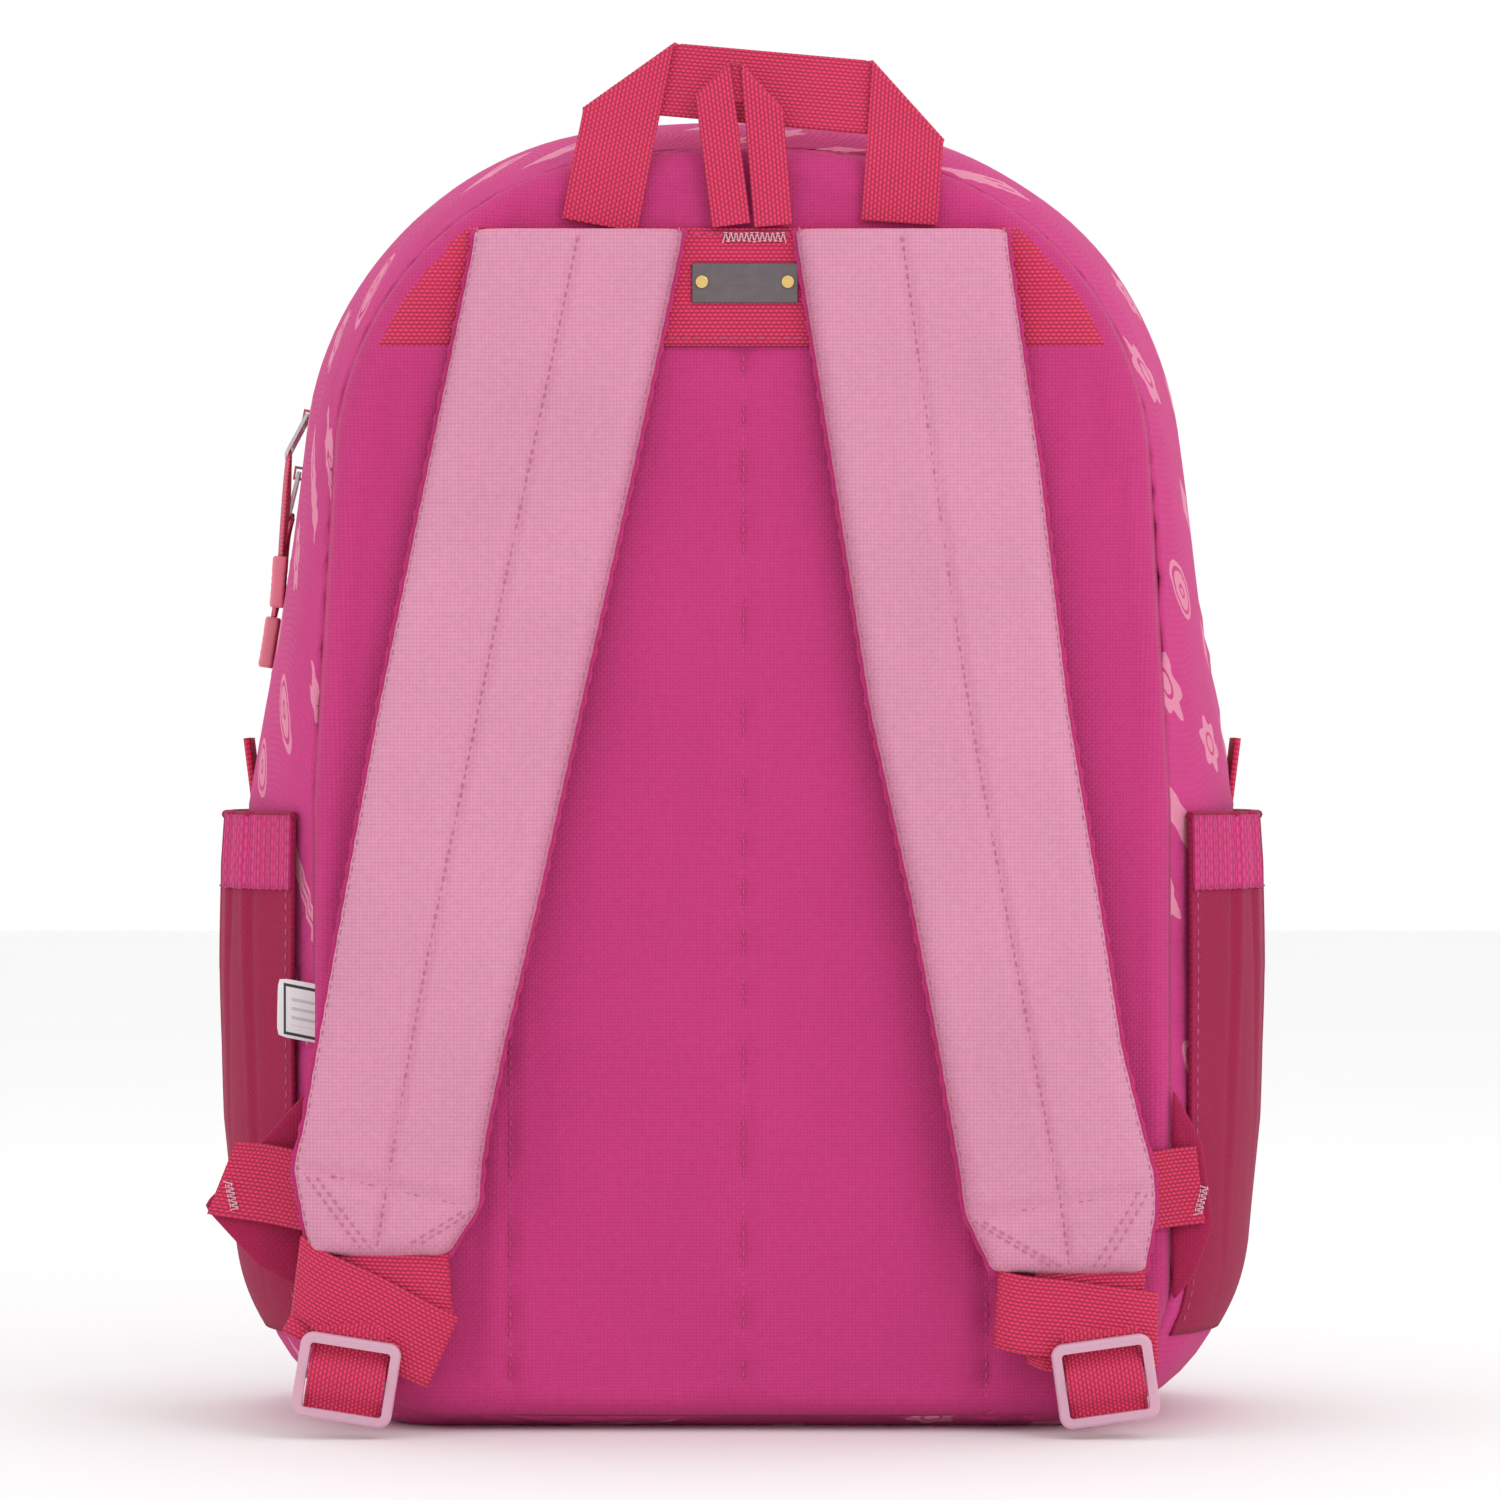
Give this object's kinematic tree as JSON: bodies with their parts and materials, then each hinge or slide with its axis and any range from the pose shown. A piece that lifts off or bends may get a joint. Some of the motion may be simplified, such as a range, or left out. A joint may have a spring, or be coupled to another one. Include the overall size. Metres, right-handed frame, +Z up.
{
  "type": "school backpack",
  "caption": "Children's school backpack with padded back and straps, arched two-slider zip, side pockets, front pocket and webbing handle.",
  "frame": {"origin": "middle of the flat base, under the bag's own width and where it stands on the floor", "axes": "+Z up, +X to the wearer's right, +Y from the wearer's back towards the front pocket"},
  "size_m": [0.3446, 0.2242, 0.4382],
  "materials": {
    "shell_fabric": "matte woven",
    "panel_fabric": "matte woven",
    "strap_fabric": "matte woven",
    "webbing": "coarse woven",
    "elastic": "ribbed",
    "foam": "soft closed-cell",
    "lining": "smooth",
    "board": "smooth",
    "zip_tape": "fine woven",
    "zip_coil": "satin",
    "slider": "satin",
    "pull_cord": "braided",
    "pull_grip": "matte",
    "name_plate": "brushed dark",
    "rivet": "polished",
    "adjuster": "satin",
    "label": "woven"
  },
  "bodies": {
    "bag": {"rear_gusset": "shell_fabric", "front_gusset_lower": "shell_fabric", "bottom_panel": "panel_fabric", "bottom_board": "board", "back_panel_cover": "panel_fabric", "back_foam": "foam", "back_lining": "lining", "inner_sleeve": "lining", "sleeve_binding": "webbing", "front_panel_lower": "panel_fabric", "zip_tape_rear": "zip_tape", "zip_coil_rear": "zip_coil", "webbing_band": "webbing", "name_plate": "name_plate", "plate_rivets": "rivet", "woven_label": "label", "front_pocket": "panel_fabric", "pocket_zip_tape": "zip_tape", "pocket_zip_coil": "zip_coil", "left_side_pocket": "shell_fabric", "left_pocket_elastic": "elastic", "left_zip_tab": "webbing", "left_corner_tab": "panel_fabric", "left_anchor_webbing": "webbing", "right_side_pocket": "shell_fabric", "right_pocket_elastic": "elastic", "right_zip_tab": "webbing", "right_corner_tab": "panel_fabric", "right_anchor_webbing": "webbing"},
    "front": {"front_gusset_upper": "shell_fabric", "front_panel_upper": "panel_fabric", "zip_tape_front": "zip_tape", "zip_coil_front": "zip_coil"},
    "haul_handle": {"haul_handle": "webbing"},
    "hang_loop": {"hang_loop": "webbing"},
    "lower_slider": {"lower_slider": "slider"},
    "lower_pull": {"lower_pull_tab": "slider", "lower_pull_cord": "pull_cord", "lower_pull_grip": "pull_grip"},
    "upper_slider": {"upper_slider": "slider"},
    "upper_pull": {"upper_pull_tab": "slider", "upper_pull_cord": "pull_cord", "upper_pull_grip": "pull_grip"},
    "pocket_slider": {"pocket_slider": "slider"},
    "pocket_pull": {"pocket_pull_tab": "slider", "pocket_pull_cord": "pull_cord", "pocket_pull_grip": "pull_grip"},
    "left_strap": {"left_strap_cover": "strap_fabric", "left_strap_foam": "foam", "left_strap_lining": "panel_fabric", "left_strap_webbing": "webbing"},
    "left_adjuster": {"left_adjuster": "adjuster", "left_adjuster_tail": "webbing"},
    "right_strap": {"right_strap_cover": "strap_fabric", "right_strap_foam": "foam", "right_strap_lining": "panel_fabric", "right_strap_webbing": "webbing"},
    "right_adjuster": {"right_adjuster": "adjuster", "right_adjuster_tail": "webbing"}
  },
  "joints": [
    {"name": "front_opening", "type": "hinge", "parent": "bag", "child": "front", "pos_m": [0, 0.084, 0.2], "axis": [-1, 0, 0], "range_deg": [0, 70]},
    {"name": "lower_zip_travel", "type": "slide", "parent": "bag", "child": "lower_slider", "axis": [-0.149, 0, -0.9888], "range_m": [0, 0.07]},
    {"name": "lower_pull_swing", "type": "hinge", "parent": "lower_slider", "child": "lower_pull", "pos_m": [-0.14791, 0.02, 0.31031], "axis": [0, 1, 0], "range_deg": [0, 110]},
    {"name": "upper_zip_travel", "type": "hinge", "parent": "bag", "child": "upper_slider", "pos_m": [-0.02865, 0.02, 0.30649], "axis": [0, 1, 0], "range_deg": [0, 64]},
    {"name": "upper_pull_swing", "type": "hinge", "parent": "upper_slider", "child": "upper_pull", "pos_m": [-0.14495, 0.02, 0.32925], "axis": [0, 1, 0], "range_deg": [0, 110]},
    {"name": "pocket_zip_travel", "type": "slide", "parent": "bag", "child": "pocket_slider", "axis": [1, 0, 0], "range_m": [0, 0.172]},
    {"name": "pocket_pull_swing", "type": "hinge", "parent": "pocket_slider", "child": "pocket_pull", "pos_m": [-0.087, 0.11555, 0.16], "axis": [1, 0, 0], "range_deg": [0, 110]},
    {"name": "left_strap_swing", "type": "hinge", "parent": "bag", "child": "left_strap", "pos_m": [-0.0515, -0.0817, 0.384], "axis": [-1, 0, 0], "range_deg": [0, 20]},
    {"name": "right_strap_swing", "type": "hinge", "parent": "bag", "child": "right_strap", "pos_m": [0.0505, -0.0817, 0.384], "axis": [-1, 0, 0], "range_deg": [0, 20]},
    {"name": "left_adjuster_tilt", "type": "hinge", "parent": "left_strap", "child": "left_adjuster", "pos_m": [-0.12289, -0.10136, 0.03233], "axis": [-0.9877, 0, 0.1564], "range_deg": [0, 60]},
    {"name": "right_adjuster_tilt", "type": "hinge", "parent": "right_strap", "child": "right_adjuster", "pos_m": [0.11312, -0.10136, 0.03187], "axis": [-0.9903, 0, -0.1392], "range_deg": [0, 60]},
    {"name": "handle_fold", "type": "hinge", "parent": "bag", "child": "haul_handle", "pos_m": [0.0035, -0.082, 0.3853], "axis": [1, 0, 0], "range_deg": [0, 65], "stiffness_Nm_per_rad": 0.01},
    {"name": "hang_loop_fold", "type": "hinge", "parent": "bag", "child": "hang_loop", "pos_m": [0.003, -0.082, 0.3853], "axis": [1, 0, 0], "range_deg": [0, 65], "stiffness_Nm_per_rad": 0.002}
  ],
  "couplings": [
    {"joint": "lower_pull_swing", "follows": "lower_zip_travel", "rad_per_m": 7.48},
    {"joint": "hang_loop_fold", "follows": "handle_fold", "ratio": 1}
  ]
}
